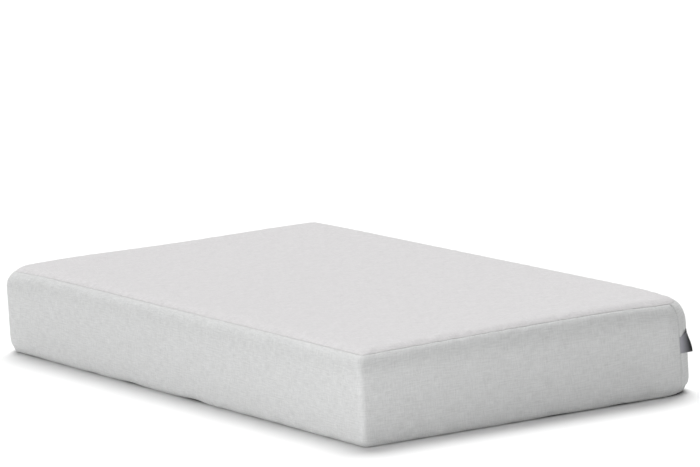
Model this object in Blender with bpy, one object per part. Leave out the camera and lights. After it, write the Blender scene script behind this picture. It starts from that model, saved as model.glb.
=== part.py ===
"""Memory foam mattress: three glued foam layers, an inner sock and a zipped fabric cover.

Frame: metres, +Z up, +Y towards the head, origin on the floor under the centre.
"""
import math

import bpy
import bmesh
from mathutils import Matrix, Vector

# Overall size
WIDTH = 0.965
LENGTH = 1.905
HEIGHT = 0.230

# Plan radius of each corner; the foot's left one is crisp, its right one is pulled round
FOOT_LEFT_RADIUS = 0.024
FOOT_RIGHT_RADIUS = 0.100
HEAD_RADIUS = 0.070
CORNER_STEPS = 7

# Section of the cover, as insets from the widest outline and heights
BASE_SEAM_Z = 0.0045
BASE_SEAM_INSET = 0.018
TUCK_TOP_Z = 0.060
SHOULDER_Z = 0.172
TOP_SEAM_Z = 0.219
TOP_SEAM_INSET = 0.025
CROWN_INSET = 0.057
SHOULDER_ARC = math.radians(68)
TUCK_STEPS = 4
SHOULDER_STEPS = 6
CROWN_STEPS = 4

# Thicknesses and gaps
GAP = 0.0004
BORDER_THICKNESS = 0.0025
HEAD_BORDER_THICKNESS = 0.0016
TOP_PANEL_THICKNESS = 0.006
BASE_PANEL_THICKNESS = 0.003
SOCK_THICKNESS = 0.001
SOCK_HEM = 0.120
BASE_BINDING_RADIUS = 0.0017
TOP_BINDING_RADIUS = 0.0010
TOP_BINDING_INSET = TOP_SEAM_INSET + 0.0029
TOP_PANEL_INSET = TOP_SEAM_INSET + 0.0044

# Foam stack
FOAM_BOTTOM_Z = BASE_PANEL_THICKNESS + SOCK_THICKNESS + 2 * GAP
CORE_TOP_Z = 0.1300
TRANSITION_TOP_Z = 0.1703
LAYER_GAP = 0.0003

# Vertical seams: one on the foot's right corner, two on the head just before its corners
TAB_SEAM_STEP = 2
TAB_SEAM_ANGLE = 270 + 90 * TAB_SEAM_STEP / CORNER_STEPS
HEAD_SEAM_X = WIDTH / 2 - HEAD_RADIUS - 0.010

# Zip across the head border
ZIP_Z = 0.085
ZIP_END_X = 0.370
ZIP_GAP_HALF = 0.008
TAPE_WIDTH = 0.020
TAPE_THICKNESS = 0.0006
TAPE_DEPTH = 0.0019
TAPE_END = 0.032
TAPE_PARTING = 0.0003
COIL_PARTING = 0.0002
COIL_WIDTH = 0.0027
COIL_DEPTH = 0.0016
COIL_THICKNESS = 0.0022
SLIDER_LENGTH = 0.0120
SLIDER_HALF_WIDTH = 0.0050
SLIDER_END_GAP = 0.0006
FLANGE_THICKNESS = 0.0012
FLANGE_FOOT = 0.0005 - TAPE_DEPTH
PLATE_INNER = 0.0010
PLATE_OUTER = 0.0024
ARCH_HALF_LENGTH = 0.0042
ARCH_HALF_WIDTH = 0.0010
ARCH_OUTER = 0.0056
ARCH_BAR = 0.0008
PULL_AXIS_OUT = 0.0036
PULL_LENGTH = 0.032
PULL_HALF_WIDTH = 0.0045
PULL_THICKNESS = 0.0012
PULL_BAR_HALF = 0.0007
PULL_WINDOW_LENGTH = 0.0078
PULL_WINDOW_HALF = 0.0026
STOP_LENGTH = 0.0030
STOP_HALF_WIDTH = 0.0030
GARAGE_LENGTH = 0.026
GARAGE_HALF_WIDTH = 0.0150
GARAGE_THICKNESS = 0.0008
GARAGE_OUT = 0.0020
GARAGE_FOOT = 0.0003
SLIDER_X = ZIP_END_X - STOP_LENGTH - SLIDER_LENGTH / 2 - SLIDER_END_GAP
HEAD_Y = LENGTH / 2

# Labels
TAB_LENGTH = 0.040
TAB_LIFT = 14
TAB_Z = (0.100, 0.150)
TAB_THICKNESS = 0.0020
RIBBON = 0.0005
SEWN_EDGE = 0.001
CARE_LENGTH = 0.040
CARE_Z = (0.112, 0.172)
CARE_THICKNESS = 0.0006

FABRIC = (0.62, 0.63, 0.63, 1)
CHARCOAL = (0.03, 0.03, 0.035, 1)
BLACK = (0.01, 0.01, 0.01, 1)
WHITE_KNIT = (0.8, 0.8, 0.78, 1)


def clear_scene():
    """Start from an empty file."""
    for item in list(bpy.data.objects):
        bpy.data.objects.remove(item, do_unlink=True)


def material(name, colour, roughness, metallic=0.0):
    """A new Principled material."""
    made = bpy.data.materials.new(name)
    made.use_nodes = True
    shader = made.node_tree.nodes["Principled BSDF"]
    shader.inputs["Base Color"].default_value = colour
    shader.inputs["Roughness"].default_value = roughness
    shader.inputs["Metallic"].default_value = metallic
    return made


def add_object(name, mesh, look, location=(0, 0, 0)):
    """An object whose mesh is given in world places, with its origin at location."""
    mesh.transform(Matrix.Translation(-Vector(location)))
    mesh.materials.append(look)
    item = bpy.data.objects.new(name, mesh)
    item.location = location
    bpy.context.scene.collection.objects.link(item)
    return item


def mesh_from_bmesh(name, bm, smooth_angle=40):
    bmesh.ops.recalc_face_normals(bm, faces=bm.faces)
    mesh = bpy.data.meshes.new(name)
    bm.to_mesh(mesh)
    bm.free()
    mesh.shade_smooth()
    mesh.set_sharp_from_angle(angle=math.radians(smooth_angle))
    return mesh


# ---------------------------------------------------------------- outline and section

def arc_station(sign_x, sign_y, radius, degrees):
    """A point on a corner's arc and its outward normal."""
    centre = Vector((sign_x * (WIDTH / 2 - radius), sign_y * (LENGTH / 2 - radius)))
    angle = math.radians(degrees)
    normal = Vector((math.cos(angle), math.sin(angle)))
    return centre + radius * normal, normal


def corner_stations(sign_x, sign_y, radius, first_angle):
    """Stations round one corner, anticlockwise."""
    angles = [first_angle + 90 * step / CORNER_STEPS for step in range(CORNER_STEPS + 1)]
    return [arc_station(sign_x, sign_y, radius, angle) for angle in angles]


def crisp_corner_stations(sign_x, sign_y, radius, first_angle):
    """Stations whose insets run along the diagonal, so the corner keeps its radius at any inset."""
    diagonal = Vector((sign_x, sign_y))
    return [(place, diagonal) for place, _ in corner_stations(sign_x, sign_y, radius, first_angle)]


def straight_station(x, sign_y):
    """A point on the foot (-1) or head (+1) edge."""
    return Vector((x, sign_y * LENGTH / 2)), Vector((0, sign_y))


def tab_seam_station(offset):
    """A point on the foot's right corner, this far anticlockwise of the tab label's seam."""
    degrees = TAB_SEAM_ANGLE + math.degrees(offset / FOOT_RIGHT_RADIUS)
    return arc_station(1, -1, FOOT_RIGHT_RADIUS, degrees)


FOOT_LEFT = crisp_corner_stations(-1, -1, FOOT_LEFT_RADIUS, 180)
FOOT_RIGHT = corner_stations(1, -1, FOOT_RIGHT_RADIUS, 270)
HEAD_RIGHT = corner_stations(1, 1, HEAD_RADIUS, 0)
HEAD_LEFT = corner_stations(-1, 1, HEAD_RADIUS, 90)


def full_outline():
    return FOOT_LEFT + FOOT_RIGHT + HEAD_RIGHT + HEAD_LEFT


def side_outline():
    """From the tab label's seam, round both right-hand corners, to the care label's seam."""
    end = straight_station(HEAD_SEAM_X + GAP / 2, 1)
    return [tab_seam_station(GAP / 2)] + FOOT_RIGHT[TAB_SEAM_STEP + 1:] + HEAD_RIGHT + [end]


def wrap_outline():
    """From the head's left seam, round both left-hand corners, to the tab label's seam."""
    start = straight_station(-HEAD_SEAM_X - GAP / 2, 1)
    corner = FOOT_RIGHT[:TAB_SEAM_STEP]
    return [start] + HEAD_LEFT + FOOT_LEFT + corner + [tab_seam_station(-GAP / 2)]


def head_outline():
    start = straight_station(HEAD_SEAM_X - GAP / 2, 1)
    end = straight_station(-HEAD_SEAM_X + GAP / 2, 1)
    return [start, end]


def tuck_inset(z):
    """The lower edge pulls in under the widest outline."""
    rise = min(1.0, (z - BASE_SEAM_Z) / (TUCK_TOP_Z - BASE_SEAM_Z))
    return BASE_SEAM_INSET * (1 - rise) ** 2


def shoulder_point(fraction):
    """The rounded top edge, from the wall (0) to the top seam (1), as (inset, z)."""
    angle = SHOULDER_ARC * fraction
    inset = TOP_SEAM_INSET * (1 - math.cos(angle)) / (1 - math.cos(SHOULDER_ARC))
    rise = (TOP_SEAM_Z - SHOULDER_Z) * math.sin(angle) / math.sin(SHOULDER_ARC)
    return inset, SHOULDER_Z + rise


def crown_point(fraction):
    """From the top seam (0) to the flat of the top (1), as (inset, z)."""
    inset = TOP_SEAM_INSET + (CROWN_INSET - TOP_SEAM_INSET) * fraction
    return inset, TOP_SEAM_Z + (HEIGHT - TOP_SEAM_Z) * (1 - (1 - fraction) ** 2)


def wall_section():
    """The outside of the border from the base seam to the top seam."""
    heights = [BASE_SEAM_Z + (TUCK_TOP_Z - BASE_SEAM_Z) * i / TUCK_STEPS for i in range(TUCK_STEPS + 1)]
    lower = [(tuck_inset(z), z) for z in heights]
    upper = [shoulder_point(i / SHOULDER_STEPS) for i in range(SHOULDER_STEPS + 1)]
    return lower + upper


def crown_section(start=0.0):
    return [crown_point(start + (1 - start) * i / CROWN_STEPS) for i in range(CROWN_STEPS + 1)]


def cover_thickness(inset, z):
    """Cover thickness along the section: the border's, growing over the crown."""
    if z < TOP_SEAM_Z:
        return BORDER_THICKNESS
    share = (inset - TOP_SEAM_INSET) / (CROWN_INSET - TOP_SEAM_INSET)
    return BORDER_THICKNESS + (TOP_PANEL_THICKNESS - BORDER_THICKNESS) * min(1.0, share)


def offset_section(section, depth):
    """Move each section point inwards along its normal; depth is a number or a function."""
    moved = []
    last = len(section) - 1
    flat_on = section[-1][1] >= HEIGHT
    for index, (inset, z) in enumerate(section):
        before = Vector(section[max(0, index - 1)])
        after = Vector(section[min(last, index + 1)])
        along = (after - before).normalized()
        if index == last and flat_on:
            along = Vector((1, 0))
        amount = depth(inset, z) if callable(depth) else depth
        moved.append((inset + along.y * amount, z - along.x * amount))
    return moved


def whole_section():
    return wall_section() + crown_section()[1:]


def inner_section(extra):
    """The whole section from base seam to crown, moved inside the cover by extra."""
    moved = offset_section(whole_section(), lambda inset, z: cover_thickness(inset, z) + extra)
    return [(min(inset, CROWN_INSET), z) for inset, z in moved]


def cut_section(section, z_low, z_high):
    """The stretch of a section between two heights, with new points where it is cut."""
    kept = []
    for (inset_a, z_a), (inset_b, z_b) in zip(section, section[1:]):
        for level in (z_low, z_high):
            if z_a < level < z_b:
                share = (level - z_a) / (z_b - z_a)
                kept.append((inset_a + (inset_b - inset_a) * share, level))
        if z_low < z_b < z_high:
            kept.append((inset_b, z_b))
    return sorted(kept, key=lambda point: (point[1], point[0]))


# ---------------------------------------------------------------- solids

def ring_vertices(bm, stations, inset, z):
    """One vertex at each station, moved in from the outline."""
    return [bm.verts.new((*(point - inset * normal), z)) for point, normal in stations]


def bridge(bm, ring_a, ring_b, closed):
    count = len(ring_a) if closed else len(ring_a) - 1
    for index in range(count):
        after = (index + 1) % len(ring_a)
        bm.faces.new((ring_a[index], ring_a[after], ring_b[after], ring_b[index]))


def stacked_solid(name, stations, section):
    """A block whose side follows the section, with a flat cap at each end."""
    bm = bmesh.new()
    rings = [ring_vertices(bm, stations, inset, z) for inset, z in section]
    for lower, upper in zip(rings, rings[1:]):
        bridge(bm, lower, upper, True)
    bm.faces.new(rings[0])
    bm.faces.new(rings[-1])
    return mesh_from_bmesh(name, bm)


def shell_solid(name, stations, outer, inner, capped):
    """A skin between two sections; capped closes it over the top with flat sheets."""
    bm = bmesh.new()
    outer_rings = [ring_vertices(bm, stations, inset, z) for inset, z in outer]
    inner_rings = [ring_vertices(bm, stations, inset, z) for inset, z in inner]
    for rings in (outer_rings, inner_rings):
        for lower, upper in zip(rings, rings[1:]):
            bridge(bm, lower, upper, True)
    bridge(bm, outer_rings[0], inner_rings[0], True)
    if capped:
        bm.faces.new(outer_rings[-1])
        bm.faces.new(inner_rings[-1])
    else:
        bridge(bm, outer_rings[-1], inner_rings[-1], True)
    return mesh_from_bmesh(name, bm)


def strip_solid(name, stations, outer, inner):
    """An open length of border between two sections, closed at both ends."""
    bm = bmesh.new()
    loop = outer + inner[::-1]
    rings = [ring_vertices(bm, stations, inset, z) for inset, z in loop]
    for index, ring in enumerate(rings):
        bridge(bm, ring, rings[(index + 1) % len(rings)], False)
    count = len(outer)
    for end in (0, -1):
        for index in range(count - 1):
            pair = (rings[index], rings[index + 1], rings[-index - 2], rings[-index - 1])
            bm.faces.new([ring[end] for ring in pair])
    return mesh_from_bmesh(name, bm)


def cord_solid(name, stations, inset, z, radius, sides=6):
    """A cord of even thickness laid round the whole outline."""
    bm = bmesh.new()
    rings = []
    for step in range(sides):
        angle = 2 * math.pi * step / sides
        across, up = radius * math.cos(angle), radius * math.sin(angle)
        rings.append(ring_vertices(bm, stations, inset + across, z + up))
    for index, ring in enumerate(rings):
        bridge(bm, ring, rings[(index + 1) % sides], True)
    return mesh_from_bmesh(name, bm)


def prism(name, outline, direction, origin=(0, 0, 0)):
    """A flat outline of 3D points pushed along a direction."""
    bm = bmesh.new()
    face = bm.faces.new([bm.verts.new(Vector(origin) + Vector(point)) for point in outline])
    made = bmesh.ops.extrude_face_region(bm, geom=[face])
    moved = [item for item in made["geom"] if isinstance(item, bmesh.types.BMVert)]
    bmesh.ops.translate(bm, vec=direction, verts=moved)
    return mesh_from_bmesh(name, bm)


def box(name, low, high):
    x0, y0, z0 = low
    x1, y1, z1 = high
    outline = [(x0, y0, z0), (x1, y0, z0), (x1, y1, z0), (x0, y1, z0)]
    return prism(name, outline, (0, 0, z1 - z0))


# ---------------------------------------------------------------- foam and sock

def make_foam():
    section = inner_section(SOCK_THICKNESS + 2 * GAP)
    floor = [(section[0][0], FOAM_BOTTOM_Z)]
    rising = [point for point in section if point[1] > FOAM_BOTTOM_Z]
    whole = floor + rising
    top = whole[-1][1]
    outline = full_outline()
    layers = [
        ("support_foam_core", FOAM_BOTTOM_Z, CORE_TOP_Z, (0.75, 0.74, 0.66, 1)),
        ("transition_foam_layer", CORE_TOP_Z + LAYER_GAP, TRANSITION_TOP_Z, (0.80, 0.82, 0.84, 1)),
        ("memory_foam_layer", TRANSITION_TOP_Z + LAYER_GAP, top, (0.85, 0.80, 0.62, 1)),
    ]
    for name, z_low, z_high, colour in layers:
        part = cut_section(whole, z_low, z_high)
        if z_low == FOAM_BOTTOM_Z:
            part = floor + part
        if z_high == top:
            part = part + [whole[-1]]
        add_object(name, stacked_solid(name, outline, part), material(name, colour, 0.95))


def make_inner_sock():
    """Pulled over the stack, with a hem underneath that leaves the middle of the base open."""
    outer = inner_section(GAP)
    inner = inner_section(GAP + SOCK_THICKNESS)
    low = BASE_PANEL_THICKNESS + GAP
    outer = [(SOCK_HEM, low), (outer[0][0], low)] + outer
    inner = [(SOCK_HEM, low + SOCK_THICKNESS), (inner[0][0], low + SOCK_THICKNESS)] + inner
    mesh = shell_solid("inner_sock", full_outline(), outer, inner, True)
    add_object("inner_sock", mesh, material("inner_sock", WHITE_KNIT, 0.9))


# ---------------------------------------------------------------- cover

def make_top_panel():
    start = (TOP_PANEL_INSET - TOP_SEAM_INSET) / (CROWN_INSET - TOP_SEAM_INSET)
    outer = crown_section(start)
    inner = offset_section(outer, cover_thickness)
    mesh = stacked_solid("top_panel", full_outline(), inner[::-1] + outer)
    add_object("top_panel", mesh, material("top_panel", FABRIC, 0.9))


def make_base_panel():
    inset = BASE_SEAM_INSET + 2 * BASE_BINDING_RADIUS
    section = [(inset, 0.0), (inset, BASE_PANEL_THICKNESS)]
    mesh = stacked_solid("base_panel", full_outline(), section)
    add_object("base_panel", mesh, material("base_panel", CHARCOAL, 0.85))


def make_borders():
    section = wall_section()
    inside = offset_section(whole_section(), BORDER_THICKNESS)[:len(section)]
    for name, outline in (("border_wrap", wrap_outline()), ("border_side", side_outline())):
        mesh = strip_solid(name, outline, section, inside)
        add_object(name, mesh, material(name, FABRIC, 0.9))
    lower = section[:TUCK_STEPS + 1] + [(0.0, ZIP_Z - ZIP_GAP_HALF)]
    upper = [(0.0, ZIP_Z + ZIP_GAP_HALF)] + section[TUCK_STEPS + 1:]
    for name, part in (("border_head_lower", lower), ("border_head_upper", upper)):
        mesh = strip_solid(name, head_outline(), part, offset_section(part, HEAD_BORDER_THICKNESS))
        add_object(name, mesh, material(name, FABRIC, 0.9))


def make_bindings():
    mesh = cord_solid("top_seam_binding", full_outline(), TOP_BINDING_INSET, TOP_SEAM_Z, TOP_BINDING_RADIUS)
    add_object("top_seam_binding", mesh, material("top_seam_binding", FABRIC, 0.9))
    radius = BASE_BINDING_RADIUS
    mesh = cord_solid("base_seam_binding", full_outline(), BASE_SEAM_INSET + GAP, radius, radius)
    add_object("base_seam_binding", mesh, material("base_seam_binding", CHARCOAL, 0.85))


# ---------------------------------------------------------------- zip

def zip_box(name, x_range, out_range, z_range, look, location=(0, 0, 0)):
    """A block on the head face; out_range is measured outwards from the fabric."""
    low = (x_range[0], HEAD_Y + out_range[0], z_range[0])
    high = (x_range[1], HEAD_Y + out_range[1], z_range[1])
    return add_object(name, box(name, low, high), look, location)


def make_tapes_and_coils():
    tape_look = material("zip_tape", (0.55, 0.56, 0.56, 1), 0.85)
    coil_look = material("zip_coil", (0.60, 0.61, 0.61, 1), 0.4)
    span = (-ZIP_END_X - TAPE_END, ZIP_END_X + TAPE_END)
    coil_span = (-ZIP_END_X + STOP_LENGTH + GAP, ZIP_END_X - STOP_LENGTH - GAP)
    tape_out = (-TAPE_DEPTH - TAPE_THICKNESS, -TAPE_DEPTH)
    coil_out = (-COIL_DEPTH, COIL_THICKNESS - COIL_DEPTH)
    tape = (ZIP_Z + TAPE_PARTING, ZIP_Z + TAPE_WIDTH)
    coil = (ZIP_Z + COIL_PARTING, ZIP_Z + COIL_PARTING + COIL_WIDTH)
    zip_box("zip_tape_upper", span, tape_out, tape, tape_look)
    zip_box("zip_coil_upper", coil_span, coil_out, coil, coil_look)
    below = [tuple(2 * ZIP_Z - z for z in reversed(pair)) for pair in (tape, coil)]
    zip_box("zip_tape_lower", span, tape_out, below[0], tape_look.copy())
    zip_box("zip_coil_lower", coil_span, coil_out, below[1], coil_look.copy())


def make_stops():
    look = material("zip_stop", (0.45, 0.45, 0.46, 1), 0.35, 0.8)
    out = (-COIL_DEPTH, COIL_THICKNESS - COIL_DEPTH)
    right = (ZIP_END_X - STOP_LENGTH, ZIP_END_X)
    left = (-ZIP_END_X, -ZIP_END_X + STOP_LENGTH)
    high = (ZIP_Z + COIL_PARTING, ZIP_Z + STOP_HALF_WIDTH)
    low = (ZIP_Z - STOP_HALF_WIDTH, ZIP_Z - COIL_PARTING)
    zip_box("zip_top_stop_upper", right, out, high, look)
    zip_box("zip_top_stop_lower", right, out, low, look.copy())
    zip_box("zip_bottom_stop", left, out, (low[0], high[1]), look.copy())


def make_slider():
    """A channel that rides on both coils, with an arch for the pull."""
    half = SLIDER_HALF_WIDTH
    inner = half - FLANGE_THICKNESS
    foot = FLANGE_FOOT
    channel = [(foot, -half), (PLATE_OUTER, -half), (PLATE_OUTER, half), (foot, half)]
    channel += [(foot, inner), (PLATE_INNER, inner), (PLATE_INNER, -inner), (foot, -inner)]
    start = SLIDER_X - SLIDER_LENGTH / 2
    outline = [(start, HEAD_Y + out, ZIP_Z + z) for out, z in channel]
    body = prism("zip_slider", outline, (SLIDER_LENGTH, 0, 0))
    look = material("zip_slider", (0.35, 0.35, 0.36, 1), 0.3, 0.9)
    slider = add_object("zip_slider", body, look, (SLIDER_X, HEAD_Y, ZIP_Z))
    long, short = ARCH_HALF_LENGTH, ARCH_HALF_LENGTH - ARCH_BAR
    rise, under = ARCH_OUTER, ARCH_OUTER - ARCH_BAR
    root = PLATE_OUTER - 0.0004
    arch = [(-long, root), (-short, root), (-short, under), (short, under), (short, root)]
    arch += [(long, root), (long, rise - ARCH_BAR), (long - ARCH_BAR, rise)]
    arch += [(-long + ARCH_BAR, rise), (-long, rise - ARCH_BAR)]
    outline = [(SLIDER_X + x, HEAD_Y + out, ZIP_Z - ARCH_HALF_WIDTH) for x, out in arch]
    mesh = prism("slider_arch_guide", outline, (0, 0, 2 * ARCH_HALF_WIDTH))
    guide = add_object("slider_arch_guide", mesh, look, (SLIDER_X, HEAD_Y, ZIP_Z))
    guide.hide_render = True
    guide.display_type = "WIRE"
    union = slider.modifiers.new("arch", "BOOLEAN")
    union.operation = "UNION"
    union.solver = "EXACT"
    union.object = guide


def rounded_rectangle(x0, x1, half_width, radius, corner_steps=2):
    """Corner-rounded outline in the zip's plane, as (x, z) pairs."""
    centres = [(x1 - radius, half_width - radius, 0), (x0 + radius, half_width - radius, 90)]
    centres += [(x0 + radius, radius - half_width, 180), (x1 - radius, radius - half_width, 270)]
    points = []
    for x, z, first in centres:
        for step in range(corner_steps + 1):
            angle = math.radians(first + 90 * step / corner_steps)
            points.append((x + radius * math.cos(angle), z + radius * math.sin(angle)))
    return points


def make_pull_tab():
    """A flat tab with a window, whose end bar passes under the slider's arch."""
    bar = PULL_BAR_HALF
    outer = rounded_rectangle(-PULL_LENGTH, bar, PULL_HALF_WIDTH, PULL_THICKNESS / 2)
    window = rounded_rectangle(-bar - PULL_WINDOW_LENGTH, -bar, PULL_WINDOW_HALF, PULL_THICKNESS / 4)
    bm = bmesh.new()
    rings = []
    for side in (-1, 1):
        out = HEAD_Y + PULL_AXIS_OUT + side * PULL_THICKNESS / 2
        for loop in (outer, window):
            rings.append([bm.verts.new((SLIDER_X + x, out, ZIP_Z + z)) for x, z in loop])
    for ring_a, ring_b in ((0, 1), (2, 3), (0, 2), (1, 3)):
        bridge(bm, rings[ring_a], rings[ring_b], True)
    mesh = mesh_from_bmesh("zip_pull_tab", bm, 30)
    look = material("zip_pull_tab", (0.35, 0.35, 0.36, 1), 0.3, 0.9)
    add_object("zip_pull_tab", mesh, look, (SLIDER_X, HEAD_Y + PULL_AXIS_OUT, ZIP_Z))


def make_garage():
    """A fabric hood over the zip's closed end, open towards the slider."""
    half = GARAGE_HALF_WIDTH
    top = GARAGE_OUT
    inner = top - GARAGE_THICKNESS
    foot = GARAGE_FOOT
    step = GARAGE_THICKNESS
    section = [(foot, -half), (top, -half), (top, half), (foot, half)]
    section += [(foot, half - step), (inner, half - step), (inner, step - half), (foot, step - half)]
    start = ZIP_END_X + 0.0004
    outline = [(start, HEAD_Y + out, ZIP_Z + z) for out, z in section]
    mesh = prism("zip_garage", outline, (GARAGE_LENGTH, 0, 0))
    add_object("zip_garage", mesh, material("zip_garage", FABRIC, 0.9))


# ---------------------------------------------------------------- labels

def fold_arc(centre_x, radius, steps=6):
    """Half a circle round the free end of a folded ribbon."""
    angles = [math.radians(-90 + 180 * step / steps) for step in range(steps + 1)]
    return [(centre_x + radius * math.cos(angle), radius * math.sin(angle)) for angle in angles]


def make_tab_label():
    """A ribbon folded in half, sewn by both ends into the seam on the foot's right corner."""
    half = TAB_THICKNESS / 2
    hollow = half - RIBBON
    sewn = SEWN_EDGE
    section = [(sewn, -half)] + fold_arc(TAB_LENGTH - half, half) + [(sewn, half), (sewn, hollow)]
    section += fold_arc(TAB_LENGTH - half, hollow)[::-1] + [(sewn, -hollow)]
    point, normal = tab_seam_station(0)
    axis = point + (half + GAP) * normal
    heading = math.radians(TAB_SEAM_ANGLE + 90 - TAB_LIFT)
    along = Vector((math.cos(heading), math.sin(heading)))
    across = Vector((-along.y, along.x))
    outline = [(*(axis + x * along + y * across), TAB_Z[0]) for x, y in section]
    mesh = prism("tab_label", outline, (0, 0, TAB_Z[1] - TAB_Z[0]))
    add_object("tab_label", mesh, material("tab_label", BLACK, 0.45), (*axis, TAB_Z[0]))


def make_care_label():
    """A single strip sewn by one edge into the seam near the head's right corner."""
    inner = HEAD_Y + GAP
    low = (HEAD_SEAM_X - CARE_LENGTH, inner, CARE_Z[0])
    high = (HEAD_SEAM_X - SEWN_EDGE, inner + CARE_THICKNESS, CARE_Z[1])
    axis = (HEAD_SEAM_X, inner + CARE_THICKNESS / 2, CARE_Z[0])
    add_object("care_label", box("care_label", low, high), material("care_label", WHITE_KNIT, 0.5), axis)


def main():
    clear_scene()
    make_foam()
    make_inner_sock()
    make_top_panel()
    make_base_panel()
    make_borders()
    make_bindings()
    make_tapes_and_coils()
    make_stops()
    make_slider()
    make_pull_tab()
    make_garage()
    make_tab_label()
    make_care_label()


main()
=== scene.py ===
"""The look of the memory foam mattress: its cover, labels, zip and foam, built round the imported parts."""
import math

import bpy
import numpy as np
from mathutils import Matrix, Vector
from mathutils.geometry import delaunay_2d_cdt


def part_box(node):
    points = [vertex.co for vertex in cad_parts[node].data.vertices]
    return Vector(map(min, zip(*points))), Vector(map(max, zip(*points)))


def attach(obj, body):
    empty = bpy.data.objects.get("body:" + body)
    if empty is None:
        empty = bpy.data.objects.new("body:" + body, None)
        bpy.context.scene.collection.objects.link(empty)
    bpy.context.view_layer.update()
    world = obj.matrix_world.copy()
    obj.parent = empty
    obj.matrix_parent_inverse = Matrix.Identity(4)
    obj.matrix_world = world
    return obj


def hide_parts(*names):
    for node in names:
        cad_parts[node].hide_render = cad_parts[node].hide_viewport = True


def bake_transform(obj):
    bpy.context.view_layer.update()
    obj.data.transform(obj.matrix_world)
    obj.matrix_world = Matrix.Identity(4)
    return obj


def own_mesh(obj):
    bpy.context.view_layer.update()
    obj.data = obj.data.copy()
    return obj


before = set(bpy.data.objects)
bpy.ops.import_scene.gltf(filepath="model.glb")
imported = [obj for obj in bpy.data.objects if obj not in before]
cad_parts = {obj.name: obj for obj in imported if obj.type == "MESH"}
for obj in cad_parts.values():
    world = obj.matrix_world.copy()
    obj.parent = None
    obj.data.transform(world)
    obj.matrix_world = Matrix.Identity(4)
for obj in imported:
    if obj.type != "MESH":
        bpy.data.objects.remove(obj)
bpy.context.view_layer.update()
scene = bpy.context.scene

# ---- sizes, in metres

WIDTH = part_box("border_side")[1].x * 2
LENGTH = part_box("border_wrap")[1].y * 2
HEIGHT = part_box("top_panel")[1].z
SEAM_Z = 0.219
SEAM_INSET = 0.025
CROWN_INSET = 0.057
SHOULDER_Z = 0.172
SHOULDER_ARC = math.radians(68)
TUCK_Z = 0.060
TUCK_INSET = 0.013
TUCK_POWER = 6
HEM_RADIUS = 0.0020
HEM_ARC = math.radians(110)
HEM_SQUASH = 0.9
HEM_POINTS = 8
FLOOR_Z = -0.0004

# Corner radii in plan, anticlockwise from the foot's right corner
RADII = (0.100, 0.058, 0.085, 0.017)
TIGHTEST = 0.015
TAB_SEAM_ANGLE = 270 + 90 * 2 / 7
TAB_LENGTH = 0.0405
TAB_LOW = 0.1035
TAB_SEWN = 0.0405
TAB_FLARE = 0.0155
TAB_TURN = math.radians(-14)
TAB_LEAN = math.radians(23)
HEAD_SEAM_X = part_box("border_head_upper")[1].x + 0.0002
ZIP_Z = (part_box("zip_slider")[0].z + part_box("zip_slider")[1].z) / 2

# Signs of x and y at each corner, and the direction in which its arc starts
CORNER_SIGNS = ((1, -1), (1, 1), (-1, 1), (-1, -1))
ARC_START = (270, 0, 90, 180)


# ---- the cover's shape

def smooth(x, low, high):
    """0 below low, 1 above high, smooth between."""
    t = np.clip((x - low) / (high - low), 0, 1)
    return t * t * (3 - 2 * t)


def bump(x, width):
    return np.exp(-(x / width) ** 2)


def corner_geometry(index, inset):
    """Centre and radius of a corner's arc on the outline moved in by inset."""
    radius = np.maximum(RADII[index] - inset, TIGHTEST)
    sign_x, sign_y = CORNER_SIGNS[index]
    return sign_x * (WIDTH / 2 - inset - radius), sign_y * (LENGTH / 2 - inset - radius), radius


def segment_lengths():
    """Lengths round the outline: foot, corner, right side, corner, head, corner, left side, corner."""
    straight = (WIDTH, LENGTH, WIDTH, LENGTH)
    lengths = []
    for i in range(4):
        lengths.append(straight[i] - RADII[i - 1] - RADII[i])
        lengths.append(RADII[i] * math.pi / 2)
    return np.array(lengths)


LENGTHS = segment_lengths()
STARTS = np.concatenate([[0], np.cumsum(LENGTHS)])
AROUND = STARTS[-1]


def ring(u, inset):
    """Points and outward directions at distance u round the outline moved in by inset."""
    u, inset = np.broadcast_arrays(np.mod(u, AROUND), inset)
    x, y = np.zeros(u.shape), np.zeros(u.shape)
    nx, ny = np.zeros(u.shape), np.zeros(u.shape)
    segment = np.clip(np.searchsorted(STARTS, u, side="right") - 1, 0, 7)
    for k in range(8):
        here = segment == k
        share = (u[here] - STARTS[k]) / LENGTHS[k]
        depth = inset[here]
        corner = k // 2
        cx, cy, radius = corner_geometry(corner, depth)
        if k % 2:
            angle = np.radians(ARC_START[corner] + 90 * share)
            nx[here], ny[here] = np.cos(angle), np.sin(angle)
            x[here], y[here] = cx + radius * nx[here], cy + radius * ny[here]
        else:
            px, py, before = corner_geometry(corner - 1, depth)
            angle = math.radians(ARC_START[corner])
            dx, dy = math.cos(angle), math.sin(angle)
            x0, y0 = px + before * dx, py + before * dy
            x1, y1 = cx + radius * dx, cy + radius * dy
            nx[here], ny[here] = dx, dy
            x[here], y[here] = x0 + (x1 - x0) * share, y0 + (y1 - y0) * share
    return x, y, nx, ny


def evenly(count):
    """Distances of evenly spaced places round the outline."""
    return np.arange(count) * AROUND / count


def level_ring(u, inset, z):
    """Points of the outline moved in by inset, at height z."""
    x, y, _, _ = ring(u, inset)
    return np.stack([x, y, np.broadcast_to(z, x.shape)], -1)


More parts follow.
